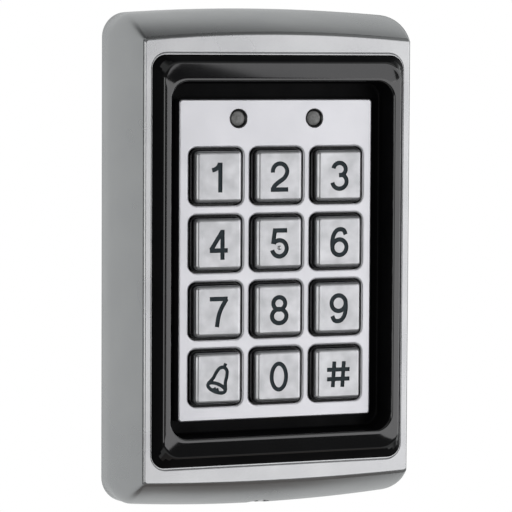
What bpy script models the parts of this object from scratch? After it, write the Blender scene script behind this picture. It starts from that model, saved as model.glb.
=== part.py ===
"""Keypad access reader for a wall: zinc case, raised black bezel, steel face plate and twelve keys.

Frame: +Z is up, +X is right and the keys face -Y. The back of the wall plate lies in y = 0,
with its centre at the origin. Sizes are in metres.
"""
import math

import bmesh
import bpy

MM = 0.001
GAP = 0.3 * MM

# Case: a shell that narrows from its rear rim to its front face, with bowed top and bottom edges.
REAR_HALF_W = 38.0 * MM
REAR_HALF_H = 60.0 * MM
FRONT_HALF_W = 34.2 * MM
FRONT_HALF_H = 53.9 * MM
REAR_BOW = 1.6 * MM
FRONT_BOW = 1.4 * MM
REAR_CORNER = 5.5 * MM
FRONT_CORNER = 0.6 * MM
SIDE_SWEEP = 1.3
END_SWEEP = 1.7
CORNER_SWEEP = 1.1
BAND_TAPER = 0.15 * MM
RIM_Y = -0.4 * MM
BAND_Y = -5.2 * MM
FRONT_Y = -20.0 * MM
LEDGE_Y = -4.9 * MM
FRONT_WALL = 1.9 * MM
OPENING_HALF_W = 32.45 * MM
OPENING_HALF_H = 49.35 * MM
OPENING_CORNER = 3.3 * MM
REBATE_HALF_W = 36.0 * MM
REBATE_HALF_H = 58.2 * MM
REBATE_CORNER = 7.2 * MM
CASE_POST_R = 2.8 * MM
CASE_POST_FRONT = -16.0 * MM

# The bezel's section: half width, half height, corner radius and depth of each ring, in millimetres.
BEZEL_RINGS = (
    (33.2, 51.2, 3.6, -16.4),
    (33.2, 51.2, 3.6, -17.8),
    (32.15, 49.05, 3.0, -17.8),
    (32.15, 49.05, 3.0, -20.1),
    (30.7, 47.5, 4.0, -22.6),
    (30.3, 46.9, 4.3, -22.95),
    (28.75, 42.25, 4.5, -23.2),
    (28.4, 41.9, 4.2, -15.1),
    (23.0, 36.6, 1.5, -15.1),
    (23.0, 36.6, 1.5, -13.6),
    (29.9, 43.4, 5.0, -13.6),
    (29.9, 43.4, 5.0, -21.3),
    (30.7, 47.4, 4.0, -21.3),
    (30.7, 47.4, 4.0, -16.4),
)
BEZEL_POST_R = 2.5 * MM

# Depths of the stack, from the wall towards the keys.
WALL_PLATE_FRONT = -1.2 * MM
COVER_BACK = -1.5 * MM
COVER_FRONT = -3.5 * MM
BOARD_BACK = -9.0 * MM
BOARD_FRONT = -10.6 * MM
MEMBRANE_BACK = BOARD_FRONT - GAP
MEMBRANE_FRONT = MEMBRANE_BACK - 1.0 * MM
COLLAR_FRONT = MEMBRANE_FRONT - 0.3 * MM
FLANGE_BACK = -13.5 * MM
FLANGE_FRONT = -14.3 * MM
KEY_FRAME_BACK = FLANGE_FRONT - GAP
KEY_FRAME_FRONT = -16.8 * MM
RIM_TOP = -18.7 * MM
FLOOR_BACK = -13.6 * MM
FLOOR_FRONT = -15.1 * MM
PLATE_BACK = FLOOR_FRONT - GAP
PLATE_FRONT = -18.3 * MM
PLATE_WALL = 1.2 * MM
CAP_FRONT = -20.5 * MM

# Face plate and keys.
PLATE_HALF_W = 24.6 * MM
PLATE_HALF_H = 38.2 * MM
PLATE_CORNER = 1.0 * MM
PLATE_SKIRT = 1.2 * MM
KEY_PITCH_X = 15.55 * MM
KEY_PITCH_Z = 15.97 * MM
KEY_BLOCK_Z = -3.95 * MM
KEY_HOLE = 6.92 * MM
KEY_HOLE_CORNER = 2.0 * MM
KEY_RIM_CORNER = 1.8 * MM
KEY_SEAT_CLEARANCE = 0.2 * MM
KEY_SEAT_CORNER = 0.8 * MM
CAP_HALF_W = 5.93 * MM
CAP_HALF_H = 6.1 * MM
CAP_BEVEL = 0.65 * MM
CAP_CORNER = 0.7 * MM
CAP_FACE_CORNER = 0.3 * MM
FLANGE_HALF = 6.9 * MM
PLUNGER_R = 2.0 * MM
PLUNGER_END = -12.0 * MM
LAMP_X = 9.8 * MM
LAMP_Z = 33.6 * MM
LAMP_HOLE_R = 2.3 * MM
LAMP_SEAT_R = 3.0 * MM
LENS_BACK = -15.5 * MM
KEY_ROWS = (("1", "2", "3"), ("4", "5", "6"), ("7", "8", "9"), ("bell", "0", "hash"))

# Fastenings: (half spacing across, half spacing up).
COVER_SCREWS = (27.0 * MM, 51.8 * MM)
BOARD_SCREWS = (30.2 * MM, 44.8 * MM)
PILOT_R = 1.55 * MM
SCREW_R = 1.25 * MM
HEAD_R = 2.5 * MM
SINK_R = 2.9 * MM
BOARD_HALF_W = 33.2 * MM
BOARD_HALF_H = 47.8 * MM
CABLE_Z = -24.0 * MM
CABLE_BORE_R = 3.5 * MM
GROMMET_R = 7.2 * MM
GROMMET_NECK_R = 5.7 * MM
CABLE_HOLE_R = 6.0 * MM
GROMMET_SEAT_Y = -2.3 * MM
SCREW_SEAT_Y = -2.7 * MM
LOCK_SCREW_Y = -7.7 * MM
LOCK_SEAT_Z = -57.6 * MM
SENSOR_X = 19.0 * MM
SENSOR_Z = -30.0 * MM
SENSOR_R = 2.5 * MM
HOOK_X = 18.0 * MM
HOOK_HALF_W = 4.0 * MM
TAB_HALF_W = 5.0 * MM
TAB_LOW_Z = -54.4 * MM
TAB_HIGH_Z = -53.2 * MM

FACES_FRONT = (math.pi / 2, 0, 0)


def clear_scene():
    for item in list(bpy.data.objects):
        bpy.data.objects.remove(item, do_unlink=True)


def new_collection(name):
    group = bpy.data.collections.new(name)
    bpy.context.scene.collection.children.link(group)
    return group


clear_scene()
PARTS = new_collection("keypad_access_reader")
TOOLS = new_collection("cutters")


def material(name, colour, roughness, metallic=0.0):
    """A plain Principled material, made once for each name."""
    made = bpy.data.materials.get(name)
    if made is None:
        made = bpy.data.materials.new(name)
        made.use_nodes = True
        shader = made.node_tree.nodes["Principled BSDF"]
        shader.inputs["Base Color"].default_value = (*colour, 1.0)
        shader.inputs["Roughness"].default_value = roughness
        shader.inputs["Metallic"].default_value = metallic
    return made


SATIN_ZINC = material("satin_zinc", (0.56, 0.57, 0.57), 0.36, 1.0)
BRUSHED_STEEL = material("brushed_steel", (0.66, 0.66, 0.67), 0.30, 1.0)
SCREW_STEEL = material("screw_steel", (0.52, 0.52, 0.52), 0.35, 1.0)
PLATE_STEEL = material("zinc_plated_steel", (0.60, 0.61, 0.62), 0.42, 1.0)
GLOSS_BLACK = material("gloss_black_plastic", (0.008, 0.008, 0.009), 0.10)
MATTE_BLACK = material("matte_black_plastic", (0.016, 0.016, 0.017), 0.52)
BLACK_RUBBER = material("black_rubber", (0.014, 0.014, 0.014), 0.70)
GREY_SILICONE = material("grey_silicone", (0.20, 0.20, 0.21), 0.60)
GREEN_BOARD = material("green_circuit_board", (0.02, 0.13, 0.05), 0.45)
CHIP_BLACK = material("chip_black", (0.02, 0.02, 0.022), 0.48)
COPPER_WIRE = material("copper_wire", (0.72, 0.33, 0.14), 0.30, 1.0)
CAN_METAL = material("capacitor_can", (0.62, 0.63, 0.66), 0.28, 1.0)
SMOKED_LENS = material("smoked_lens", (0.16, 0.16, 0.15), 0.25)
CLEAR_LAMP = material("clear_lamp", (0.62, 0.62, 0.58), 0.15)
CERAMIC = material("ceramic_sensor", (0.72, 0.66, 0.50), 0.50)
CONNECTOR_WHITE = material("connector_white", (0.74, 0.73, 0.68), 0.45)


def finish(part, surface, group=PARTS):
    """Put an object in its collection and give it its one material."""
    for holder in list(part.users_collection):
        holder.objects.unlink(part)
    group.objects.link(part)
    part.data.materials.clear()
    part.data.materials.append(surface)
    return part


def mesh_object(name, shape):
    """Turn a bmesh into an object whose round stretches are shaded smooth."""
    mesh = bpy.data.meshes.new(name)
    bmesh.ops.recalc_face_normals(shape, faces=shape.faces)
    shape.to_mesh(mesh)
    shape.free()
    mesh.shade_smooth()
    mesh.set_sharp_from_angle(angle=math.radians(35))
    part = bpy.data.objects.new(name, mesh)
    bpy.context.scene.collection.objects.link(part)
    return part


def outline(half_w, half_h, corner, bow=0.0, steps=4, spans=1, centre=(0.0, 0.0)):
    """Rounded rectangle in X and Z. Bow lowers the top and bottom edges towards their ends."""
    points = []
    for quarter in range(4):
        side = 1 if quarter in (0, 3) else -1
        level = 1 if quarter < 2 else -1
        for step in range(steps + 1):
            turn = math.radians(90) * (quarter + step / steps)
            x = side * (half_w - corner) + corner * math.cos(turn)
            z = level * (half_h - corner) + corner * math.sin(turn)
            points.append((x, z))
        if quarter in (0, 2):
            reach = half_w - corner
            for span in range(1, spans):
                points.append((side * reach * (1 - 2 * span / spans), level * half_h))
    placed = []
    for x, z in points:
        drop = math.copysign(bow * (x / half_w) ** 2, z)
        placed.append((x + centre[0], z - drop + centre[1]))
    return placed


def loft(name, sections, closed=False):
    """Skin through outlines at given depths; a closed loft joins its last section to its first."""
    shape = bmesh.new()
    rings = [[shape.verts.new((x, y, z)) for x, z in points] for y, points in sections]
    pairs = list(zip(rings, rings[1:]))
    if closed:
        pairs.append((rings[-1], rings[0]))
    else:
        shape.faces.new(rings[0])
        shape.faces.new(rings[-1])
    count = len(rings[0])
    for back, front in pairs:
        for i in range(count):
            j = (i + 1) % count
            shape.faces.new((back[i], back[j], front[j], front[i]))
    return mesh_object(name, shape)


def slab(name, points, back, front):
    """A flat plate with the given outline, from depth back to depth front."""
    curve = bpy.data.curves.new(name + "_outline", "CURVE")
    curve.dimensions = "2D"
    curve.fill_mode = "BOTH"
    curve.extrude = abs(front - back) / 2
    spline = curve.splines.new("POLY")
    spline.points.add(len(points) - 1)
    for point, (x, z) in zip(spline.points, points):
        point.co = (x, z, 0, 1)
    spline.use_cyclic_u = True
    guide = bpy.data.objects.new(name + "_outline", curve)
    guide.location = (0, (front + back) / 2, 0)
    guide.rotation_euler = FACES_FRONT
    bpy.context.scene.collection.objects.link(guide)
    bpy.context.view_layer.update()
    evaluated = guide.evaluated_get(bpy.context.evaluated_depsgraph_get())
    flat = bpy.data.meshes.new_from_object(evaluated)
    shape = bmesh.new()
    shape.from_mesh(flat)
    bmesh.ops.remove_doubles(shape, verts=shape.verts, dist=0.001 * MM)
    part = mesh_object(name, shape)
    part.matrix_world = guide.matrix_world.copy()
    bpy.data.objects.remove(guide)
    bpy.data.meshes.remove(flat)
    return part


def rod(name, x, z, radius, back, front, sides=20):
    """A cylinder along Y between two depths."""
    bpy.ops.mesh.primitive_cylinder_add(
        vertices=sides, radius=radius, depth=abs(front - back),
        location=(x, (front + back) / 2, z), rotation=FACES_FRONT)
    part = bpy.context.object
    part.name = name
    part.data.shade_smooth()
    part.data.set_sharp_from_angle(angle=math.radians(35))
    return part


def block(name, low, high, bevel=0.0):
    """A box between two corners, with its edges bevelled if asked."""
    shape = bmesh.new()
    bmesh.ops.create_cube(shape, size=1.0)
    centre = [(a + b) / 2 for a, b in zip(low, high)]
    size = [b - a for a, b in zip(low, high)]
    for vert in shape.verts:
        vert.co = [centre[k] + vert.co[k] * size[k] for k in range(3)]
    part = mesh_object(name, shape)
    if bevel:
        edge = part.modifiers.new("edge", "BEVEL")
        edge.width = bevel
        edge.segments = 2
    return part


def turned(name, profile, location, rotation=FACES_FRONT, steps=20):
    """A turned piece from (radius, height) points, listed top to bottom down the outer side."""
    mesh = bpy.data.meshes.new(name)
    mesh.from_pydata([(r, 0, h) for r, h in profile], [(i, i + 1) for i in range(len(profile) - 1)], [])
    part = bpy.data.objects.new(name, mesh)
    bpy.context.scene.collection.objects.link(part)
    spin = part.modifiers.new("turn", "SCREW")
    spin.axis = "Z"
    spin.steps = steps
    spin.render_steps = steps
    spin.use_merge_vertices = True
    spin.merge_threshold = 0.00001
    spin.use_smooth_shade = False
    part.location = location
    part.rotation_euler = rotation
    return part


def gather(name, pieces):
    """Several closed pieces as one mesh object, to cut or join with."""
    bpy.context.view_layer.update()
    shape = bmesh.new()
    for piece in pieces:
        piece.data.transform(piece.matrix_world)
        shape.from_mesh(piece.data)
        bpy.data.objects.remove(piece)
    return mesh_object(name, shape)


def boolean(part, tool, operation):
    for holder in list(tool.users_collection):
        holder.objects.unlink(tool)
    TOOLS.objects.link(tool)
    tool.hide_render = True
    tool.display_type = "WIRE"
    step = part.modifiers.new(tool.name, "BOOLEAN")
    step.operation = operation
    step.solver = "EXACT"
    step.object = tool


def cut(part, tool):
    boolean(part, tool, "DIFFERENCE")


def join(part, tool):
    boolean(part, tool, "UNION")


def corners(spacing):
    """The four places at plus and minus a spacing across and up."""
    return [(sx * spacing[0], sz * spacing[1]) for sz in (1, -1) for sx in (-1, 1)]


def key_places():
    """(label, x, z) of each key, from the top left."""
    for row, labels in enumerate(KEY_ROWS):
        for column, label in enumerate(labels):
            yield label, (column - 1) * KEY_PITCH_X, KEY_BLOCK_Z + (1.5 - row) * KEY_PITCH_Z


def case_section(share):
    """Depth and outline of the case, from its side band (share 0) to its front edge (share 1)."""
    side = share ** SIDE_SWEEP
    end = share ** END_SWEEP
    half_w = REAR_HALF_W - BAND_TAPER - side * (REAR_HALF_W - BAND_TAPER - FRONT_HALF_W)
    half_h = REAR_HALF_H - BAND_TAPER - end * (REAR_HALF_H - BAND_TAPER - FRONT_HALF_H)
    corner = FRONT_CORNER + (REAR_CORNER - FRONT_CORNER) * (1 - share) ** CORNER_SWEEP
    bow = REAR_BOW + (FRONT_BOW - REAR_BOW) * share
    depth = BAND_Y + (FRONT_Y - BAND_Y) * share
    return depth, outline(half_w, half_h, corner, bow, steps=5, spans=6)


def make_front_case():
    sections = [(RIM_Y, outline(REAR_HALF_W, REAR_HALF_H, REAR_CORNER, REAR_BOW, steps=5, spans=6))]
    sections += [case_section(share) for share in (0.0, 0.2, 0.4, 0.6, 0.8, 1.0)]
    case = loft("front_case", sections)

    rebate = outline(REBATE_HALF_W, REBATE_HALF_H, REBATE_CORNER, REAR_BOW, spans=6)
    cut(case, slab("case_rebate", rebate, 1.0 * MM, LEDGE_Y))

    inner_front = FRONT_Y + FRONT_WALL
    deep = outline(33.5 * MM, 52.9 * MM, 3.0 * MM, FRONT_BOW, spans=6)
    wide = outline(34.6 * MM, 57.0 * MM, 5.8 * MM, REAR_BOW, spans=6)
    cut(case, loft("case_cavity", [(LEDGE_Y + 1.0 * MM, wide), (LEDGE_Y, wide), (inner_front, deep)]))

    opening = outline(OPENING_HALF_W, OPENING_HALF_H, OPENING_CORNER)
    cut(case, slab("case_opening", opening, inner_front + 1.0 * MM, FRONT_Y - 1.0 * MM))

    posts = []
    bores = []
    for x, z in corners(COVER_SCREWS):
        posts.append(rod("post", x, z, CASE_POST_R, COVER_FRONT - GAP, CASE_POST_FRONT))
        bores.append(rod("bore", x, z, PILOT_R, 0.0, -12.5 * MM, 16))
    join(case, gather("case_posts", posts))
    cut(case, gather("case_post_bores", bores))

    shank_way = [(0, 8 * MM), (1.8 * MM, 8 * MM), (1.8 * MM, 0)]
    head_way = [(2.7 * MM, 0), (2.7 * MM, -4 * MM), (0, -4 * MM)]
    lock_hole = turned("case_lock_hole", shank_way + head_way, (0, LOCK_SCREW_Y, LOCK_SEAT_Z), (0, 0, 0))
    cut(case, lock_hole)
    return finish(case, SATIN_ZINC)


def make_reader_bezel():
    """A raised frame: flange, neck, sloped side, crown, inner wall and the floor round the plate."""
    sections = []
    for half_w, half_h, corner, depth in BEZEL_RINGS:
        sections.append((depth * MM, outline(half_w * MM, half_h * MM, corner * MM, steps=5)))
    bezel = loft("reader_bezel", sections, closed=True)
    posts = []
    bores = []
    for x, z in corners(BOARD_SCREWS):
        posts.append(rod("post", x, z, BEZEL_POST_R, BOARD_FRONT - GAP, -17.0 * MM))
        bores.append(rod("bore", x, z, PILOT_R, BOARD_BACK, -15.2 * MM, 16))
    join(bezel, gather("bezel_posts", posts))
    cut(bezel, gather("bezel_post_bores", bores))
    return finish(bezel, GLOSS_BLACK)


def make_face_plate():
    plate = slab("face_plate", outline(PLATE_HALF_W, PLATE_HALF_H, PLATE_CORNER), PLATE_BACK, PLATE_FRONT)
    inside = outline(PLATE_HALF_W - PLATE_SKIRT, PLATE_HALF_H - PLATE_SKIRT, PLATE_CORNER / 2)
    cut(plate, slab("plate_hollow", inside, PLATE_BACK + 1.0 * MM, PLATE_FRONT + PLATE_WALL))
    tools = []
    for label, x, z in key_places():
        hole = outline(KEY_HOLE, KEY_HOLE, KEY_HOLE_CORNER, centre=(x, z), steps=3)
        tools.append(slab("hole_" + label, hole, PLATE_BACK, PLATE_FRONT - 1.0 * MM))
    for side in (-1, 1):
        tools.append(rod("lamp_hole", side * LAMP_X, LAMP_Z, LAMP_HOLE_R, PLATE_BACK, PLATE_FRONT - MM))
    cut(plate, gather("plate_holes", tools))
    return finish(plate, BRUSHED_STEEL)


def make_key_frame():
    frame = slab("key_frame", outline(22.7 * MM, 36.3 * MM, 1.4 * MM), KEY_FRAME_BACK, KEY_FRAME_FRONT)
    rims = []
    holes = []
    for label, x, z in key_places():
        rim = outline(KEY_HOLE - GAP, KEY_HOLE - GAP, KEY_RIM_CORNER, centre=(x, z), steps=2)
        rims.append(slab("rim_" + label, rim, KEY_FRAME_BACK - 1.0 * MM, RIM_TOP))
        half_w = CAP_HALF_W + KEY_SEAT_CLEARANCE
        half_h = CAP_HALF_H + KEY_SEAT_CLEARANCE
        hole = outline(half_w, half_h, KEY_SEAT_CORNER, centre=(x, z), steps=1)
        holes.append(slab("hole_" + label, hole, KEY_FRAME_BACK + 1.0 * MM, RIM_TOP - 1.0 * MM))
    for side in (-1, 1):
        back, front = KEY_FRAME_BACK + MM, KEY_FRAME_FRONT - MM
        holes.append(rod("lamp_seat", side * LAMP_X, LAMP_Z, LAMP_SEAT_R, back, front))
    join(frame, gather("key_rims", rims))
    cut(frame, gather("key_frame_holes", holes))
    return finish(frame, MATTE_BLACK)


def make_keypad_membrane():
    sheet = outline(22.6 * MM, 32.3 * MM, 2.0 * MM, centre=(0, KEY_BLOCK_Z))
    membrane = slab("keypad_membrane", sheet, MEMBRANE_BACK, MEMBRANE_FRONT)
    collars = []
    wells = []
    for label, x, z in key_places():
        collars.append(rod("collar_" + label, x, z, 3.6 * MM, MEMBRANE_BACK - 0.5 * MM, COLLAR_FRONT, 12))
        wells.append(rod("well_" + label, x, z, 2.5 * MM, MEMBRANE_BACK + MM, COLLAR_FRONT - MM, 12))
    join(membrane, gather("membrane_collars", collars))
    cut(membrane, gather("membrane_wells", wells))
    return finish(membrane, GREY_SILICONE)


def make_key(label, x, z):
    """A metal cap with a holding flange behind it and a plunger that reaches the contact."""
    def square(half_w, half_h, corner, depth):
        return depth, outline(half_w, half_h, corner, steps=2)

    key = loft("key_" + label, [
        square(PLUNGER_R, PLUNGER_R, PLUNGER_R, PLUNGER_END),
        square(PLUNGER_R, PLUNGER_R, PLUNGER_R, FLANGE_BACK),
        square(FLANGE_HALF, FLANGE_HALF, 1.0 * MM, FLANGE_BACK),
        square(FLANGE_HALF, FLANGE_HALF, 1.0 * MM, FLANGE_FRONT),
        square(CAP_HALF_W, CAP_HALF_H, CAP_CORNER, FLANGE_FRONT),
        square(CAP_HALF_W, CAP_HALF_H, CAP_CORNER, CAP_FRONT + CAP_BEVEL),
        square(CAP_HALF_W - CAP_BEVEL, CAP_HALF_H - CAP_BEVEL, CAP_FACE_CORNER, CAP_FRONT),
    ])
    key.location = (x, 0, z)
    return finish(key, BRUSHED_STEEL)


def make_lamps():
    """Two status lamps on the board, each behind a small domed lens in the face plate."""
    for side, word in ((-1, "left"), (1, "right")):
        x = side * LAMP_X
        dome = [(0, 2.6 * MM), (0.8 * MM, 2.5 * MM), (1.5 * MM, 2.2 * MM), (2.0 * MM, 1.6 * MM)]
        body = [(2.0 * MM, 1.3 * MM), (2.7 * MM, 1.3 * MM), (2.7 * MM, 0), (0, 0)]
        lens = turned("led_lens_" + word, dome + body, (x, LENS_BACK, LAMP_Z))
        finish(lens, SMOKED_LENS)
        tip = [(0, 4.2 * MM), (0.8 * MM, 4.0 * MM), (1.3 * MM, 3.5 * MM), (1.5 * MM, 2.8 * MM)]
        base = [(1.5 * MM, 1.0 * MM), (1.9 * MM, 1.0 * MM), (1.9 * MM, 0), (0, 0)]
        lamp = turned("led_" + word, tip + base, (x, BOARD_FRONT - GAP, LAMP_Z), steps=16)
        finish(lamp, CLEAR_LAMP)


def make_main_board():
    board = slab("main_board", outline(BOARD_HALF_W, BOARD_HALF_H, 2.0 * MM), BOARD_BACK, BOARD_FRONT)
    holes = [rod("hole", x, z, PILOT_R, 0.0, -12.0 * MM, 16) for x, z in corners(BOARD_SCREWS)]
    cut(board, gather("board_holes", holes))
    return finish(board, GREEN_BOARD)


def on_board(name, centre_x, centre_z, width, height, thickness, surface, bevel=0.2 * MM):
    """A rectangular component on the back of the board."""
    back = BOARD_BACK + GAP
    low = (centre_x - width / 2, back, centre_z - height / 2)
    high = (centre_x + width / 2, back + thickness, centre_z + height / 2)
    return finish(block(name, low, high, bevel), surface)


def make_components():
    on_board("controller_chip", 0, 8 * MM, 12 * MM, 12 * MM, 1.5 * MM, CHIP_BLACK)
    on_board("memory_chip", 16 * MM, 10 * MM, 6 * MM, 5 * MM, 1.5 * MM, CHIP_BLACK)
    on_board("voltage_regulator", 20 * MM, -8 * MM, 6.6 * MM, 6.1 * MM, 2.3 * MM, CHIP_BLACK)
    on_board("clock_crystal", -1 * MM, 22 * MM, 11 * MM, 4.6 * MM, 3.4 * MM, CAN_METAL, 0.8 * MM)
    on_board("door_relay", 17 * MM, 28 * MM, 15.5 * MM, 10.5 * MM, 4.6 * MM, CHIP_BLACK, 0.4 * MM)

    header = on_board("wire_header", 0, -40 * MM, 25 * MM, 5.8 * MM, 4.6 * MM, CONNECTOR_WHITE, 0.0)
    mouth_back = BOARD_BACK + GAP + 1.4 * MM
    mouth = block("header_mouth", (-11.7 * MM, mouth_back, -42.1 * MM), (11.7 * MM, 0, -37.9 * MM))
    cut(header, mouth)

    back = BOARD_BACK + GAP
    finish(rod("buzzer", -18 * MM, 27 * MM, 6.3 * MM, back, back + 4.6 * MM, 28), CHIP_BLACK)
    port = rod("buzzer_port", -18 * MM, 27 * MM, 1.1 * MM, back + 3.4 * MM, 0, 12)
    cut(bpy.data.objects["buzzer"], port)
    finish(rod("tamper_sensor", SENSOR_X, SENSOR_Z, SENSOR_R, back, back + 3.0 * MM, 20), CERAMIC)

    bpy.ops.mesh.primitive_cylinder_add(
        vertices=20, radius=2.4 * MM, depth=11 * MM,
        location=(-19 * MM, back + 2.5 * MM, 6 * MM), rotation=(0, math.pi / 2, 0))
    can = bpy.context.object
    can.name = "filter_capacitor"
    finish(can, CAN_METAL)


def make_antenna_coil():
    """The winding that reads cards, a rectangular loop behind the bezel's floor."""
    outer = outline(27.3 * MM, 41.0 * MM, 4.0 * MM)
    inner = outline(25.2 * MM, 38.9 * MM, 2.2 * MM)
    back = -11.3 * MM
    front = FLOOR_BACK + GAP
    coil = loft("antenna_coil", [(back, outer), (front, outer), (front, inner), (back, inner)], closed=True)
    return finish(coil, COPPER_WIRE)


def make_rear_cover():
    edge = outline(REBATE_HALF_W - GAP, REBATE_HALF_H - GAP, REBATE_CORNER - GAP, REAR_BOW, spans=6)
    cover = slab("rear_cover", edge, COVER_BACK, COVER_FRONT)
    tools = []
    for x, z in corners(COVER_SCREWS):
        tools.append(rod("hole", x, z, SCREW_R + GAP, SCREW_SEAT_Y + 0.5 * MM, COVER_FRONT - MM, 16))
    tools.append(rod("cable_hole", 0, CABLE_Z, CABLE_HOLE_R, 0, COVER_FRONT - MM, 28))
    tools.append(rod("sensor_hole", SENSOR_X, SENSOR_Z, SENSOR_R + GAP, 0, COVER_FRONT - MM))
    for side in (-1, 1):
        low = (side * HOOK_X - HOOK_HALF_W - 2 * GAP, COVER_FRONT - MM, 45.8 * MM)
        high = (side * HOOK_X + HOOK_HALF_W + 2 * GAP, 0, 50.5 * MM)
        tools.append(block("hook_slot", low, high))
    tab_low = (-TAB_HALF_W - 0.5 * MM, COVER_FRONT - MM, TAB_LOW_Z - 0.4 * MM)
    tab_high = (TAB_HALF_W + 0.5 * MM, 0, TAB_HIGH_Z + 0.4 * MM)
    tools.append(block("tab_slot", tab_low, tab_high))
    cut(cover, gather("cover_holes", tools))
    sinks = [rod("sink", x, z, SINK_R, 0, SCREW_SEAT_Y) for x, z in corners(COVER_SCREWS)]
    sinks.append(rod("grommet_sink", 0, CABLE_Z, GROMMET_R + GAP, 0, GROMMET_SEAT_Y, 28))
    cut(cover, gather("cover_sinks", sinks))
    return finish(cover, MATTE_BLACK)


def make_cover_gasket():
    """A flat silicone loop between the rear cover and the ledge inside the case."""
    def edge(inset):
        half_w, half_h = REBATE_HALF_W - inset, REBATE_HALF_H - inset
        return outline(half_w, half_h, REBATE_CORNER - inset, REAR_BOW, spans=6)

    outer = edge(0.4 * MM)
    inner = edge(1.1 * MM)
    back = COVER_FRONT - GAP
    front = LEDGE_Y + GAP
    section = [(back, outer), (front, outer), (front, inner), (back, inner)]
    gasket = loft("cover_gasket", section, closed=True)
    return finish(gasket, GREY_SILICONE)


def make_cable_grommet():
    """A rubber ring held in the rear cover, with an open bore for the cable."""
    bore = CABLE_BORE_R
    flange = GROMMET_R
    neck = GROMMET_NECK_R
    front_flange = -COVER_FRONT + GAP
    back_flange = -GROMMET_SEAT_Y - GAP
    tip = front_flange + 1.0 * MM
    profile = [
        (bore, tip), (flange, tip), (flange, front_flange), (neck, front_flange),
        (neck, back_flange), (flange, back_flange), (flange, -COVER_BACK), (bore, -COVER_BACK), (bore, tip),
    ]
    return finish(turned("cable_grommet", profile, (0, 0, CABLE_Z), steps=28), BLACK_RUBBER)


def make_wall_plate():
    """Steel plate with a cable opening, slots for wall screws, two hooks and a tab for the lock screw."""
    plate = slab("wall_plate", outline(31 * MM, 47 * MM, 3 * MM), 0, WALL_PLATE_FRONT)
    sheet = -WALL_PLATE_FRONT
    hooks = []
    for side in (-1, 1):
        left = side * HOOK_X - HOOK_HALF_W
        right = side * HOOK_X + HOOK_HALF_W
        hooks.append(block("hook_root", (left, -sheet, 46 * MM), (right, 0, 50.2 * MM)))
        hooks.append(block("hook_arm", (left, -5.3 * MM, 49 * MM), (right, -0.5 * MM, 50.2 * MM)))
        hooks.append(block("hook_lip", (left, -5.3 * MM, 49.5 * MM), (right, -4.1 * MM, 52.5 * MM)))
    for number, hook in enumerate(hooks):
        join(plate, finish(hook, PLATE_STEEL, TOOLS))
        hook.name = f"wall_hook_{number}"
    join(plate, block("tab_root", (-TAB_HALF_W, -sheet, TAB_LOW_Z), (TAB_HALF_W, 0, -46 * MM)))
    shelf_low = (-TAB_HALF_W, -11.2 * MM, TAB_LOW_Z)
    join(plate, block("tab_shelf", shelf_low, (TAB_HALF_W, -0.5 * MM, TAB_HIGH_Z)))
    tools = [slab("cable_way", outline(11 * MM, 8 * MM, 2 * MM, centre=(0, CABLE_Z)), 1 * MM, -3 * MM)]
    for z in (41.75 * MM, -41.75 * MM):
        slot = outline(6 * MM, 2.25 * MM, 2.2 * MM, centre=(0, z))
        tools.append(slab("wall_slot", slot, 1 * MM, -3 * MM))
    for side in (-1, 1):
        tools.append(rod("wall_hole", side * 23 * MM, 0, 2.25 * MM, 1 * MM, -3 * MM))
    tools.append(rod("light_hole", SENSOR_X, SENSOR_Z, 3.6 * MM, 1 * MM, -3 * MM))
    cut(plate, gather("wall_plate_holes", tools))
    tab_middle = (0, LOCK_SCREW_Y, (TAB_LOW_Z + TAB_HIGH_Z) / 2)
    bpy.ops.mesh.primitive_cylinder_add(vertices=20, radius=1.8 * MM, depth=4 * MM, location=tab_middle)
    hole = bpy.context.object
    hole.name = "tab_hole"
    cut(plate, hole)
    return finish(plate, PLATE_STEEL)


def make_screws():
    """Pan-head screws. Heights count from under the head, towards the thread's end."""
    def profile(shank_r, length, head_r, head):
        return [(0, length), (shank_r * 0.7, length), (shank_r, length - shank_r * 0.6), (shank_r, 0),
                (head_r, 0), (head_r, -head * 0.6), (head_r * 0.8, -head), (0, -head)]

    for number, (x, z) in enumerate(corners(COVER_SCREWS), 1):
        place = (x, SCREW_SEAT_Y + GAP, z)
        section = profile(SCREW_R, 9.5 * MM, HEAD_R, 0.9 * MM)
        screw = turned(f"cover_screw_{number}", section, place, steps=16)
        finish(screw, SCREW_STEEL)
    for number, (x, z) in enumerate(corners(BOARD_SCREWS), 1):
        place = (x, BOARD_BACK + GAP, z)
        section = profile(SCREW_R, 5.8 * MM, 2.4 * MM, 1.4 * MM)
        screw = turned(f"board_screw_{number}", section, place, steps=16)
        finish(screw, SCREW_STEEL)
    place = (0, LOCK_SCREW_Y, LOCK_SEAT_Z - GAP)
    lock = turned("security_screw", profile(1.45 * MM, 7.4 * MM, 2.4 * MM, 0.9 * MM), place, (0, 0, 0), 16)
    finish(lock, SCREW_STEEL)


make_front_case()
make_reader_bezel()
make_face_plate()
make_key_frame()
make_keypad_membrane()
for key_label, key_x, key_z in key_places():
    make_key(key_label, key_x, key_z)
make_lamps()
make_main_board()
make_components()
make_antenna_coil()
make_rear_cover()
make_cover_gasket()
make_cable_grommet()
make_wall_plate()
make_screws()
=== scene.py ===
"""Looks of the keypad access reader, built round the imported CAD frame. Metres, +Z up, keys face -Y."""
import math

import bmesh
import bpy
from mathutils import Matrix, Vector


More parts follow.
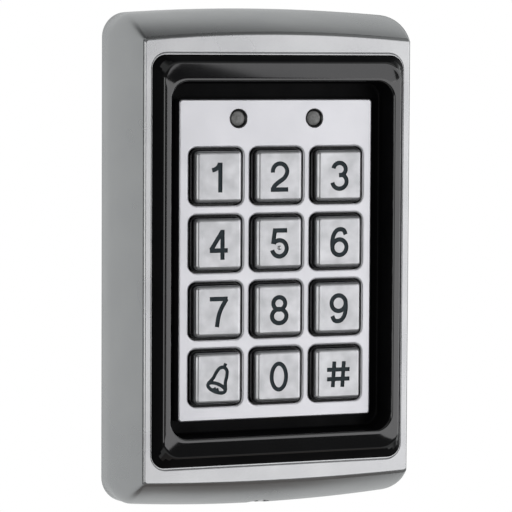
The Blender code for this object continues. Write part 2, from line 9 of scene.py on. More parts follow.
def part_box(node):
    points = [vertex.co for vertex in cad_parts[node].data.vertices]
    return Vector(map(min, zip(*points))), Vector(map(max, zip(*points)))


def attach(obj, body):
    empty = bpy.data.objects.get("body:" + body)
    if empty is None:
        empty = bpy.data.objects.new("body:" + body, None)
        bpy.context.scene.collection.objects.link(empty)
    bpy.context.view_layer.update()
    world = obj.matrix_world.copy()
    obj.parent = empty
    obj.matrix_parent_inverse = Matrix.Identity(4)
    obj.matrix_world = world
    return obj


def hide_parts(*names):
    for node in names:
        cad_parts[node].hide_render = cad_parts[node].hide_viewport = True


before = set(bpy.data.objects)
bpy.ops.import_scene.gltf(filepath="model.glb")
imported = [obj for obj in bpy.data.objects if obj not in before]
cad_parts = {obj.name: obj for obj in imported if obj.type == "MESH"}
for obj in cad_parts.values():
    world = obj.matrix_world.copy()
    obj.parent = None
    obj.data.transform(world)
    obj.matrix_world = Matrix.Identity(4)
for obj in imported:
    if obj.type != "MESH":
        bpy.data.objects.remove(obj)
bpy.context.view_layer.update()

MM = 0.001
HOUSING = "housing"

# Places read from the frame.
CASE_LOW, CASE_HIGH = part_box("front_case")
PLATE_LOW, PLATE_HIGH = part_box("face_plate")
KEY_FRAME_LOW, KEY_FRAME_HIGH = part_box("key_frame")
RIM_Y = CASE_HIGH.y
FRONT_Y = CASE_LOW.y
PLATE_FRONT = PLATE_LOW.y

# Sizes that the boxes don't give. Most are the CAD's; the case reaches a little lower than its box.
REAR_HALF_W = CASE_HIGH.x
REAR_HIGH = CASE_HIGH.z
REAR_LOW = REAR_HIGH + 0.6 * MM
FRONT_HALF_W = 34.2 * MM
FRONT_HIGH = 53.9 * MM
FRONT_LOW = 53.3 * MM
REAR_BOW = 1.6 * MM
REAR_LOW_BOW = 1.9 * MM
FRONT_BOW = 1.5 * MM
FRONT_LOW_BOW = 0.8 * MM
REAR_CORNER = 5.5 * MM
FRONT_CORNER = 0.6 * MM
BAND_TAPER = 0.15 * MM
BAND_Y = -5.2 * MM
LEDGE_Y = -4.9 * MM
FRONT_WALL = 1.9 * MM
OPENING_HALF_W = 32.3 * MM
OPENING_HALF_H = 48.76 * MM
OPENING_CORNER = 3.3 * MM
KEY_HOLE = 6.95 * MM
RIM_HALF = 6.62 * MM
RIM_DROP = 0.22 * MM
FLANGE_Y = (-13.5 * MM, -14.3 * MM)
PLUNGER_R = 2.0 * MM
LAMP_HOLE_R = 2.24 * MM
LAMP_LIFT = 0.12 * MM
KEY_LABELS = ("1", "2", "3", "4", "5", "6", "7", "8", "9", "bell", "0", "hash")

# Camera: an angle round the object, a height angle and a tilt, then metres, and lens sizes in millimetres.
CAMERA_YAW = math.radians(22.28)
CAMERA_PITCH = math.radians(4.10)
CAMERA_ROLL = math.radians(0.30)
CAMERA_DISTANCE = 0.7129
CAMERA_AIM = Vector((-0.00183, -0.01013, 0.00027))
CAMERA_SENSOR = 36.0
CAMERA_LENS = 207.38
FLOOR_LEVEL = -0.60
FLOOR_HALF = 0.3


# ---------------------------------------------------------------- mesh helpers

def shade(part, angle=32):
    part.data.shade_smooth()
    part.data.set_sharp_from_angle(angle=math.radians(angle))
    return part


def keep_flat(part, forward=0.9999):
    """Mark the borders of the faces that look straight forward as sharp, so that they shade evenly."""
    borders = {key for face in part.data.polygons if face.normal.y < -forward for key in face.edge_keys}
    for edge in part.data.edges:
        if edge.key in borders:
            edge.use_edge_sharp = True


def mesh_object(name, shape, angle=32):
    mesh = bpy.data.meshes.new(name)
    bmesh.ops.recalc_face_normals(shape, faces=shape.faces)
    shape.to_mesh(mesh)
    shape.free()
    part = bpy.data.objects.new(name, mesh)
    bpy.context.scene.collection.objects.link(part)
    return shade(part, angle)


def outline(half_w, half_h, corner, bow=0.0, steps=10, spans=24, rises=1, centre=(0.0, 0.0)):
    """Rounded rectangle in X and Z. Bow lowers the top and bottom edges towards their ends."""
    points = []
    for quarter in range(4):
        side = 1 if quarter in (0, 3) else -1
        level = 1 if quarter < 2 else -1
        for step in range(steps + 1):
            turn = math.radians(90) * (quarter + step / steps)
            x = side * (half_w - corner) + corner * math.cos(turn)
            z = level * (half_h - corner) + corner * math.sin(turn)
            points.append((x, z))
        if quarter in (0, 2):
            reach = half_w - corner
            points += [(side * reach * (1 - 2 * k / spans), level * half_h) for k in range(1, spans)]
        else:
            reach = half_h - corner
            points += [(side * half_w, level * reach * (1 - 2 * k / rises)) for k in range(1, rises)]
    return [(x + centre[0], z - math.copysign(bow * (x / half_w) ** 2, z) + centre[1]) for x, z in points]


def loft(name, sections, closed=False, angle=32):
    """Skin through (depth, outline) sections. A depth is one number, or a list with one for each point.

    A closed loft joins its last section to its first.
    """
    shape = bmesh.new()
    add_loft(shape, sections, closed)
    return mesh_object(name, shape, angle)


def add_loft(shape, sections, closed=False):
    rings = []
    for depth, points in sections:
        depths = depth if isinstance(depth, list) else [depth] * len(points)
        rings.append([shape.verts.new((x, y, z)) for y, (x, z) in zip(depths, points)])
    pairs = list(zip(rings, rings[1:]))
    if closed:
        pairs.append((rings[-1], rings[0]))
    else:
        shape.faces.new(rings[0])
        shape.faces.new(rings[-1])
    count = len(rings[0])
    for back, front in pairs:
        for i in range(count):
            j = (i + 1) % count
            shape.faces.new((back[i], back[j], front[j], front[i]))


def turned(name, profile, centre, steps=64, axis="Y"):
    """A turned piece from (radius, height) points: from the axis back to the axis, or a closed ring."""
    shape = bmesh.new()
    rings = []
    for radius, height in profile:
        if radius == 0:
            rings.append([shape.verts.new((0, 0, height))])
        else:
            turns = [math.tau * k / steps for k in range(steps)]
            circle = [(radius * math.cos(t), radius * math.sin(t), height) for t in turns]
            rings.append([shape.verts.new(point) for point in circle])
    pairs = list(zip(rings, rings[1:]))
    if len(rings[0]) > 1:
        pairs.append((rings[-1], rings[0]))
    for upper, lower in pairs:
        for k in range(steps):
            m = (k + 1) % steps
            above = (upper[k % len(upper)], upper[m % len(upper)])
            below = (lower[m % len(lower)], lower[k % len(lower)])
            shape.faces.new(list(dict.fromkeys(above + below)))
    if axis == "Y":
        lean = Matrix.Rotation(math.pi / 2, 3, "X")
        bmesh.ops.rotate(shape, verts=shape.verts, cent=(0, 0, 0), matrix=lean)
    bmesh.ops.translate(shape, verts=shape.verts, vec=centre)
    return mesh_object(name, shape)


def box_piece(name, low, high):
    shape = bmesh.new()
    bmesh.ops.create_cube(shape, size=1.0)
    for vert in shape.verts:
        vert.co = [(low[k] + high[k]) / 2 + vert.co[k] * (high[k] - low[k]) for k in range(3)]
    return mesh_object(name, shape)


def carve(part, tool, operation="DIFFERENCE"):
    """Apply one Boolean at once and drop the tool."""
    step = part.modifiers.new("carve", "BOOLEAN")
    step.operation = operation
    step.solver = "EXACT"
    step.object = tool
    step.material_mode = "TRANSFER"
    bpy.context.view_layer.update()
    result = bpy.data.meshes.new_from_object(part.evaluated_get(bpy.context.evaluated_depsgraph_get()))
    part.modifiers.clear()
    part.data = result
    bpy.data.objects.remove(tool)
    return part


def softened(node, width, segments=3, angle=32):
    """A copy of a CAD node with its edges rounded, which then replaces the node."""
    shape = bmesh.new()
    shape.from_mesh(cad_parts[node].data)
    bmesh.ops.remove_doubles(shape, verts=shape.verts, dist=0.002 * MM)
    bmesh.ops.dissolve_limit(shape, angle_limit=math.radians(1.0), verts=shape.verts, edges=shape.edges)
    part = mesh_object(node + "_body", shape, angle)
    edge = part.modifiers.new("edge", "BEVEL")
    edge.width = width
    edge.segments = segments
    edge.limit_method = "ANGLE"
    edge.angle_limit = math.radians(angle)
    edge.use_clamp_overlap = True
    return part


def piece(part, look, slot, *nodes, body=HOUSING):
    """Give a piece its material, its body and the CAD nodes it stands for. The slot is not used."""
    if look is not None:
        part.data.materials.clear()
        part.data.materials.append(look)
    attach(part, body)
    if nodes:
        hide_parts(*nodes)
    return part


# ---------------------------------------------------------------- materials

def new_material(name):
    made = bpy.data.materials.new(name)
    made.use_nodes = True
    return made, made.node_tree.nodes, made.node_tree.links


def position(nodes, links, stretch=(1, 1, 1)):
    coordinates = nodes.new("ShaderNodeTexCoord")
    mapping = nodes.new("ShaderNodeMapping")
    mapping.inputs["Scale"].default_value = stretch
    links.new(coordinates.outputs["Object"], mapping.inputs["Vector"])
    return mapping.outputs["Vector"]


def noise(nodes, links, vector, scale, detail=3.0, roughness=0.5):
    texture = nodes.new("ShaderNodeTexNoise")
    texture.inputs["Scale"].default_value = scale
    texture.inputs["Detail"].default_value = detail
    texture.inputs["Roughness"].default_value = roughness
    links.new(vector, texture.inputs["Vector"])
    return texture.outputs["Fac"]


def ramp(nodes, links, factor, low, high, start=0.35, end=0.65):
    """Blend between two colours or greys as a factor goes from start to end."""
    blend = nodes.new("ShaderNodeValToRGB")
    stops = blend.color_ramp.elements
    stops[0].position = start
    stops[1].position = end
    stops[0].color = (*low, 1) if isinstance(low, tuple) else (low, low, low, 1)
    stops[1].color = (*high, 1) if isinstance(high, tuple) else (high, high, high, 1)
    links.new(factor, blend.inputs["Fac"])
    return blend.outputs["Color"]


def bump(nodes, links, height, strength, distance, before=None):
    relief = nodes.new("ShaderNodeBump")
    relief.inputs["Strength"].default_value = strength
    relief.inputs["Distance"].default_value = distance
    links.new(height, relief.inputs["Height"])
    if before is not None:
        links.new(before, relief.inputs["Normal"])
    return relief.outputs["Normal"]


def surface(name, dark, light, rough, metallic=0.0, patch=180.0, grain=2600.0, grain_height=0.004,
            stretch=(1, 1, 1), coat=0.0, specular=0.5, grain_strength=0.25):
    """Patchy colour and roughness over a fine grain. Patch and grain are noise scales per metre."""
    made, nodes, links = new_material(name)
    shader = nodes["Principled BSDF"]
    shader.inputs["Metallic"].default_value = metallic
    shader.inputs["Coat Weight"].default_value = coat
    shader.inputs["Coat Roughness"].default_value = 0.06
    shader.inputs["Specular IOR Level"].default_value = specular
    still = position(nodes, links)
    pulled = position(nodes, links, stretch)
    patches = noise(nodes, links, still, patch, 4.0, 0.55)
    fine = noise(nodes, links, pulled, grain, 2.0)
    links.new(ramp(nodes, links, patches, dark, light, 0.3, 0.7), shader.inputs["Base Color"])
    links.new(ramp(nodes, links, patches, rough[1], rough[0], 0.25, 0.75), shader.inputs["Roughness"])
    relief = bump(nodes, links, fine, grain_strength, grain_height * MM)
    links.new(relief, shader.inputs["Normal"])
    return made


SATIN_ZINC = surface("satin_zinc", (0.41, 0.414, 0.42), (0.44, 0.444, 0.446), (0.24, 0.29), 1.0, patch=60,
                     grain=5200, grain_height=0.006, grain_strength=0.3)
PLATE_STEEL = surface("satin_plate_steel", (0.63, 0.632, 0.655), (0.66, 0.66, 0.682), (0.35, 0.39), 1.0,
                      patch=90, grain=2400, stretch=(4.0, 1, 0.12))
KEY_STEEL = surface("key_cap_metal", (0.44, 0.445, 0.455), (0.52, 0.523, 0.535), (0.29, 0.38), 1.0,
                    patch=300, grain=3600)
LEGEND = surface("legend_paint", (0.014, 0.024, 0.030), (0.024, 0.038, 0.046), (0.45, 0.6), patch=900,
                 specular=0.3)
GLOSS_BLACK = surface("gloss_black_plastic", (0.0045, 0.0045, 0.005), (0.007, 0.007, 0.0075), (0.05, 0.09),
                      patch=120, grain=260, grain_height=0.006, coat=0.6, grain_strength=0.12)
# Duller black for the bezel's well and steep outer side; its darker colour and near-absent reflection are
# painted shade.
DULL_BLACK_PAINTED_SHADE = surface("dull_black_plastic_painted_shade", (0.0035, 0.0035, 0.004), (0.006, 0.006, 0.0065), (0.34, 0.46),
                     patch=120, grain=2200, grain_height=0.01, specular=0.05)
RIM_BLACK = surface("rim_black_plastic", (0.006, 0.006, 0.007), (0.010, 0.010, 0.011), (0.22, 0.32),
                    patch=300, grain=3000, grain_height=0.003)
COVER_BLACK = surface("cover_black_plastic", (0.014, 0.014, 0.015), (0.022, 0.022, 0.023), (0.45, 0.6),
                      patch=120, grain=2600, grain_height=0.03, grain_strength=0.6)
RUBBER = surface("black_rubber", (0.010, 0.010, 0.010), (0.018, 0.018, 0.018), (0.6, 0.75), patch=300)
SILICONE = surface("grey_silicone", (0.17, 0.17, 0.18), (0.22, 0.22, 0.23), (0.5, 0.62), patch=200)
ZINC_SHEET = surface("zinc_plated_steel", (0.50, 0.52, 0.54), (0.66, 0.67, 0.68), (0.26, 0.44), 1.0,
                     patch=240, grain=1800, grain_height=0.006, stretch=(0.2, 1, 3.0), grain_strength=0.35)
SCREW_STEEL = surface("screw_steel", (0.46, 0.46, 0.47), (0.60, 0.60, 0.60), (0.24, 0.38), 1.0, patch=700)
CHIP_BLACK = surface("chip_black", (0.016, 0.016, 0.018), (0.026, 0.026, 0.028), (0.42, 0.55), patch=500)
CAN_METAL = surface("can_metal", (0.58, 0.59, 0.62), (0.68, 0.69, 0.71), (0.22, 0.32), 1.0, patch=500)
NYLON = surface("white_nylon", (0.68, 0.67, 0.62), (0.78, 0.77, 0.72), (0.40, 0.52), patch=300)
CERAMIC = surface("sensor_ceramic", (0.60, 0.52, 0.36), (0.76, 0.70, 0.55), (0.45, 0.6), patch=900)
SMOKED = surface("smoked_lens", (0.13, 0.13, 0.127), (0.30, 0.30, 0.292), (0.30, 0.42), patch=1500)
LAMP = surface("lamp_epoxy", (0.58, 0.58, 0.54), (0.68, 0.68, 0.65), (0.10, 0.18), patch=800, coat=0.3)


def board_material():
    """Green solder mask with a grid of darker tracks and tinned pads."""
    made, nodes, links = new_material("circuit_board")
    shader = nodes["Principled BSDF"]
    vector = position(nodes, links, (1, 0.001, 1))
    tracks = nodes.new("ShaderNodeTexBrick")
    tracks.inputs["Scale"].default_value = 260
    tracks.inputs["Mortar Size"].default_value = 0.03
    tracks.inputs["Color1"].default_value = (0.012, 0.11, 0.035, 1)
    tracks.inputs["Color2"].default_value = (0.018, 0.15, 0.05, 1)
    tracks.inputs["Mortar"].default_value = (0.03, 0.22, 0.08, 1)
    links.new(vector, tracks.inputs["Vector"])
    links.new(tracks.outputs["Color"], shader.inputs["Base Color"])
    fine = noise(nodes, links, vector, 900)
    links.new(ramp(nodes, links, fine, 0.3, 0.45), shader.inputs["Roughness"])
    links.new(bump(nodes, links, tracks.outputs["Fac"], 0.3, 0.02 * MM), shader.inputs["Normal"])
    return made


def copper_material():
    """Enamelled wire wound in close turns round the coil."""
    made, nodes, links = new_material("wound_copper")
    shader = nodes["Principled BSDF"]
    shader.inputs["Metallic"].default_value = 1.0
    vector = position(nodes, links)
    turns = nodes.new("ShaderNodeTexWave")
    turns.bands_direction = "Y"
    turns.inputs["Scale"].default_value = 1600
    turns.inputs["Distortion"].default_value = 0.6
    links.new(vector, turns.inputs["Vector"])
    links.new(ramp(nodes, links, turns.outputs["Fac"], (0.38, 0.14, 0.05), (0.80, 0.38, 0.17)),
              shader.inputs["Base Color"])
    links.new(ramp(nodes, links, turns.outputs["Fac"], 0.42, 0.26), shader.inputs["Roughness"])
    links.new(bump(nodes, links, turns.outputs["Fac"], 0.6, 0.08 * MM), shader.inputs["Normal"])
    return made


BOARD = board_material()
COPPER = copper_material()


# ---------------------------------------------------------------- case and bezel

def case_outline(half_w, high, low, corner, high_bow, low_bow):
    """The case at one depth: a rounded rectangle whose top and bottom edges bow by their own amounts."""
    points = []
    for x, z in outline(half_w, high, corner):
        sag = (x / half_w) ** 2
        if z > 0:
            points.append((x, z - high_bow * sag))
        else:
            points.append((x, z + high - low + low_bow * sag))
    return points


def blend(rear, front, share):
    return rear + (front - rear) * share


def case_section(share):
    """Outline of the case between its side band (share 0) and its front edge (share 1)."""
    end = share ** 1.7
    half_w = blend(REAR_HALF_W - BAND_TAPER, FRONT_HALF_W, share ** 1.3)
    high = blend(REAR_HIGH - BAND_TAPER, FRONT_HIGH, end)
    low = blend(REAR_LOW - BAND_TAPER, FRONT_LOW, end)
    corner = blend(FRONT_CORNER, REAR_CORNER, (1 - share) ** 1.1)
    points = case_outline(half_w, high, low, corner, blend(REAR_BOW, FRONT_BOW, share),
                          blend(REAR_LOW_BOW, FRONT_LOW_BOW, share))
    return blend(BAND_Y, FRONT_Y, share), points


def make_case():
    """Rear rim, side band, sloped faces, front face, a fine groove round the opening, inside."""
    edge = 0.3 * MM
    fold = 0.42 * MM
    steps = 22
    sections = []
    for turn in (0, 30, 60, 90):
        inset = edge * (1 - math.sin(math.radians(turn)))
        depth = RIM_Y - edge * (1 - math.cos(math.radians(turn)))
        points = case_outline(REAR_HALF_W - inset, REAR_HIGH - inset, REAR_LOW - inset, REAR_CORNER - inset,
                              REAR_BOW, REAR_LOW_BOW)
        sections.append((depth, points))
    sections += [case_section(k / steps) for k in range(steps)] + [case_section(0.97)]
    for turn in (30, 42, 54, 66, 78, 90):
        inset = fold * (1 - math.cos(math.radians(turn)))
        depth = FRONT_Y + fold * (1 - math.sin(math.radians(turn)))
        points = case_outline(FRONT_HALF_W - inset, FRONT_HIGH - inset, FRONT_LOW - inset, FRONT_CORNER,
                              FRONT_BOW, FRONT_LOW_BOW)
        sections.append((depth, points))

    def mouth(inset, sink):
        """A ring round the opening, by how far it lies inside it and how far behind the front, in mm."""
        half_w = OPENING_HALF_W - inset * 0.4 * MM
        half_h = OPENING_HALF_H - inset * MM
        return FRONT_Y + sink * MM, outline(half_w, half_h, OPENING_CORNER - inset * MM)

    groove = ((-0.74, 0.0), (-0.62, 0.16), (-0.52, 0.22), (-0.42, 0.16), (-0.30, 0.0))
    lip = ((-0.08, 0.0), (-0.02, 0.04), (0.0, 0.12), (0.0, 1.0))
    sections += [mouth(inset, sink) for inset, sink in groove + lip]
    sections.append((FRONT_Y + FRONT_WALL, outline(OPENING_HALF_W, OPENING_HALF_H, OPENING_CORNER)))
    inside_front = outline(33.5 * MM, 52.9 * MM, 3.0 * MM, FRONT_BOW)
    inside_ledge = outline(34.6 * MM, 57.0 * MM, 5.8 * MM, REAR_BOW)
    inside_rim = outline(36.0 * MM, 58.2 * MM, 7.2 * MM, REAR_BOW)
    sections.append((FRONT_Y + FRONT_WALL, inside_front))
    sections.append((LEDGE_Y, inside_ledge))
    sections.append((LEDGE_Y, inside_rim))
    sections.append((RIM_Y, inside_rim))
    case = loft("case_shell", sections, closed=True, angle=24)

    lock_low, lock_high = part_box("security_screw")
    centre = (lock_low + lock_high) / 2
    seat = [(0, 8 * MM), (1.8 * MM, 8 * MM), (1.8 * MM, 0), (2.7 * MM, 0), (2.7 * MM, -4 * MM), (0, -4 * MM)]
    carve(case, turned("lock_hole", seat, (centre.x, centre.y, lock_low.z + 1.2 * MM), axis="Z"))
    shade(case, 24)
    keep_flat(case, 0.9985)
    return piece(case, SATIN_ZINC, "zinc_case", "front_case")


CROWN_LIFT = 0.42


def bezel_ring(half_w, half_h, corner, side_depth, end_depth, lift=CROWN_LIFT):
    """One ring of the bezel, in millimetres. Its depth eases from the sides to the top and bottom."""
    points = outline(half_w * MM, half_h * MM, corner * MM)
    level_x = (half_w - corner) * MM
    level_z = (half_h - corner) * MM
    depths = []
    for x, z in points:
        turn = math.atan2(max(abs(z) - level_z, 0.0), max(abs(x) - level_x, 1e-9))
        depths.append((side_depth + (end_depth - side_depth) * math.sin(turn) ** 2) * MM)
    return depths, [(x, z + lift * MM) for x, z in points]


def bezel_stretch(first, last, shares, bulge=0.0):
    """Rings between two rings, bulging forward halfway."""
    rings = []
    for share in shares:
        mixed = [a + (b - a) * share for a, b in zip(first, last)]
        half_w, half_h, corner, side_depth, end_depth, lift = mixed
        forward = bulge * 4 * share * (1 - share)
        rings.append(bezel_ring(half_w, half_h, corner, side_depth - forward, end_depth - forward, lift))
    return rings


def make_bezel():
    """A raised gloss frame: steep outer side, nearly flat crown, rounded lip, inner wall and floor.

    Each ring is a half width, half height, corner, depth at the sides, depth at the ends, and lift.
    """
    flange_back = (33.2, 51.2, 3.6, -16.4, -16.4, 0.0)
    flange_front = (33.2, 51.2, 3.6, -17.7, -17.7, 0.0)
    neck = (32.1, 48.6, 3.0, -17.7, -17.7, 0.0)
    foot = (32.1, 48.6, 3.0, -20.1, -20.1, 0.0)
    shoulder = (30.55, 46.75, 3.9, -22.75, -22.35, CROWN_LIFT)
    crown = (30.2, 46.3, 4.2, -23.12, -22.68, CROWN_LIFT)
    lip = (28.95, 42.55, 4.5, -23.18, -23.18, CROWN_LIFT)
    toe = (28.45, 41.95, 4.3, -15.7, -15.7)
    lip_round = 0.38
    toe_round = 0.6
    floor_and_back = (
        (23.0, 36.6, 1.5, -15.1), (23.0, 36.6, 1.5, -13.6), (29.9, 43.4, 5.0, -13.6),
        (29.9, 43.4, 5.0, -21.2), (30.5, 46.6, 4.0, -21.2), (30.5, 46.6, 4.0, -16.4))

    sections = [bezel_ring(*flange_back), bezel_ring(*flange_front), bezel_ring(*neck)]
    sections += bezel_stretch(foot, shoulder, (0, 0.04, 0.25, 0.5, 0.75, 0.96, 1), 0.03)
    sections += bezel_stretch(shoulder, crown, (0.2, 0.4, 0.6, 0.8, 1), 0.08)
    sections += bezel_stretch(crown, lip, (0.1, 0.25, 0.4, 0.55, 0.7, 0.85, 1), 0.02)
    for turn in (20, 40, 60, 80, 90):
        c, s = math.cos(math.radians(turn)), math.sin(math.radians(turn))
        depth = lip[3] + lip_round * (1 - c)
        sections.append(bezel_ring(lip[0] - lip_round * s, lip[1] - lip_round * s, 4.4, depth, depth))
    sections.append(bezel_ring(*toe))
    for turn in (30, 60, 90):
        c, s = math.cos(math.radians(turn)), math.sin(math.radians(turn))
        depth = toe[3] + toe_round * s
        inset = toe_round * (1 - c)
        sections.append(bezel_ring(toe[0] - inset, toe[1] - inset, 4.0, depth, depth))
    for half_w, half_h, corner, depth in floor_and_back:
        sections.append(bezel_ring(half_w, half_h, corner, depth, depth, 0.0))
    bezel = loft("bezel_frame", sections, closed=True, angle=40)
    bezel.data.materials.append(GLOSS_BLACK)
    bezel.data.materials.append(DULL_BLACK_PAINTED_SHADE)
    # The inner wall, the floor and the steep outer side are duller than the crown and the lip, and a darker
    # black that reflects almost nothing: painted shade on them.
    for face in bezel.data.polygons:
        centre = face.center
        level = centre.z - CROWN_LIFT * MM
        inside = abs(centre.x) < 28.6 * MM and abs(level) < 42.2 * MM and centre.y > -22.6 * MM
        outer = abs(centre.x) > 30.6 * MM or abs(level) > 46.8 * MM
        face.material_index = 1 if inside or outer else 0
    return piece(bezel, None, "gloss_black", "reader_bezel")


# ---------------------------------------------------------------- face plate, rims and lamps

def middle(node):
    """The middle of a node's box in X and Z."""
    low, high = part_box(node)
    return (low.x + high.x) / 2, (low.z + high.z) / 2


def make_plate():
    """Pressed steel plate: rounded outer edge, skirt, and holes whose edges roll inwards."""
    half_w = PLATE_HIGH.x + 0.35 * MM
    half_h = PLATE_HIGH.z + 0.15 * MM
    corner = 0.8 * MM
    edge = 0.42 * MM
    hole_corner = 2.0 * MM
    sections = [(PLATE_HIGH.y, outline(half_w, half_h, corner, spans=1))]
    for turn in (0, 22, 45, 67, 90):
        c, s = math.cos(math.radians(turn)), math.sin(math.radians(turn))
        inset = edge * (1 - c)
        size = outline(half_w - inset, half_h - inset, corner - inset * 0.6, spans=1)
        sections.append((PLATE_FRONT + edge * (1 - s), size))
    plate = loft("plate_front", sections, angle=40)

    skirt = 1.2 * MM
    hollow = outline(half_w - skirt, half_h - skirt, 0.6 * MM, spans=1)
    carve(plate, loft("hollow", [(PLATE_HIGH.y + 1 * MM, hollow), (PLATE_FRONT + skirt, hollow)]))

    cutters = bmesh.new()
    flare_wide = 0.5 * MM
    flare_deep = 0.13 * MM
    for label in KEY_LABELS:
        spot = middle("key_" + label)
        hole = [(PLATE_HIGH.y + 2 * MM, outline(KEY_HOLE, KEY_HOLE, hole_corner, spans=1, centre=spot))]
        for share in (0, 0.15, 0.3, 0.45, 0.6, 0.8, 0.97):
            grow = flare_wide * share
            flare = outline(KEY_HOLE + grow, KEY_HOLE + grow, hole_corner + grow, spans=1, centre=spot)
            hole.append((PLATE_FRONT + flare_deep * (1 - share) ** 2, flare))
        hole.append((PLATE_FRONT - 1 * MM, hole[-1][1]))
        add_loft(cutters, hole)
    for word in ("left", "right"):
        x, z = middle("led_lens_" + word)
        spot = (x, z + LAMP_LIFT)
        hole = []
        for depth, grow in ((2.0, 0), (0.16, 0), (0.05, 0.04), (0.0, 0.12), (-1.0, 0.12)):
            radius = LAMP_HOLE_R + grow * MM
            hole.append((PLATE_FRONT + depth * MM, outline(radius, radius, radius, spans=1, centre=spot)))
        add_loft(cutters, hole)
    carve(plate, mesh_object("holes", cutters))
    shade(plate, 40)
    keep_flat(plate)
    return piece(plate, PLATE_STEEL, "plate_steel", "face_plate")


def make_key_frame():
    """The black moulding behind the plate and the twelve rounded rims that stand up through it."""
    low, high = KEY_FRAME_LOW, KEY_FRAME_HIGH
    front = -16.8 * MM
    outer = RIM_HALF - 0.02 * MM
    inner = 6.05 * MM
    crest = (RIM_HALF - inner) / 2
    lamp_room = 3.0 * MM
    slab = outline(high.x, high.z, 1.4 * MM, spans=1)
    base = loft("key_frame_base", [(high.y, slab), (front, slab)])
    holes = bmesh.new()
    rims = bmesh.new()
    for label in KEY_LABELS:
        spot = middle("key_" + label)
        seat = outline(RIM_HALF, RIM_HALF, 1.8 * MM, spans=1, centre=spot)
        add_loft(holes, [(high.y + 1 * MM, seat), (front - 1 * MM, seat)])
        sections = [(high.y, outline(outer, outer, 1.8 * MM, spans=1, centre=spot))]
        for turn in range(0, 181, 15):
            c, s = math.cos(math.radians(turn)), math.sin(math.radians(turn))
            half = outer - crest + crest * c
            size = outline(half, half + 0.08 * MM * (1 - c), 1.5 * MM + crest * c, spans=1, centre=spot)
            sections.append((low.y + RIM_DROP + crest * (1 - s), size))
        sections.append((high.y, outline(inner, inner + 0.16 * MM, 1.2 * MM, spans=1, centre=spot)))
        add_loft(rims, sections, closed=True)
    for word in ("left", "right"):
        ring = outline(lamp_room, lamp_room, lamp_room, spans=1, centre=middle("led_lens_" + word))
        add_loft(holes, [(high.y + 1 * MM, ring), (front - 1 * MM, ring)])
    carve(base, mesh_object("seats", holes))
    piece(shade(base), RIM_BLACK, "matte_black", "key_frame")
    return piece(mesh_object("key_rims", rims, 50), RIM_BLACK, "matte_black")


def make_lamps():
    """Two low-domed lenses, each with a flange behind the plate and a thin black ring round it."""
    radius = 1.72 * MM
    dome_rise = 0.35 * MM
    for word in ("left", "right"):
        x, z = middle("led_lens_" + word)
        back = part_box("led_lens_" + word)[1].y
        top = back - PLATE_FRONT - 0.25 * MM
        dome = [(radius * math.sin(math.radians(a)), top - dome_rise * (1 - math.cos(math.radians(a))))
                for a in range(0, 91, 9)]
        body = [(radius, 1.3 * MM), (2.7 * MM, 1.3 * MM), (2.7 * MM, 0), (0, 0)]
        centre = (x, back, z + LAMP_LIFT)
        piece(turned("lens_" + word, dome + body, centre), SMOKED, "lens", "led_lens_" + word)
        outer = LAMP_HOLE_R - 0.02 * MM
        ring = [(1.76 * MM, top - 0.5 * MM), (1.95 * MM, top - 0.2 * MM), (outer - 0.05 * MM, top - 0.1 * MM),
                (outer, top - 0.2 * MM), (outer, 1.4 * MM), (1.76 * MM, 1.4 * MM)]
        piece(turned("lamp_ring_" + word, ring, centre), RIM_BLACK, "matte_black")


# ---------------------------------------------------------------- keys and legends

def arc(cx, cz, rx, rz, start, end, count=18):
    """Points on an ellipse between two angles in degrees."""
    angles = [math.radians(start + (end - start) * k / count) for k in range(count + 1)]
    return [(cx + rx * math.cos(a), cz + rz * math.sin(a)) for a in angles]


def curve(*points, count=8):
    """A smooth line through given points (Catmull-Rom)."""
    ends = [points[0], *points, points[-1]]
    line = []
    for p0, p1, p2, p3 in zip(ends, ends[1:], ends[2:], ends[3:]):
        for k in range(count):
            t = k / count
            line.append(tuple(
                0.5 * (2 * b + (c - a) * t + (2 * a - 5 * b + 4 * c - d) * t * t
                       + (3 * b - a - 3 * c + d) * t ** 3)
                for a, b, c, d in zip(p0, p1, p2, p3)))
    return line + [points[-1]]


RING = (0, 360)
SIX_BOWL = arc(0.05, -1.18, 1.78, 1.80, *RING, 36)[:-1]
SIX_STEM = curve((1.60, 1.75), (1.15, 2.70), (0.25, 2.98), (-0.75, 2.65), (-1.50, 1.50), (-1.78, -0.10),
                 (-1.70, -1.30))
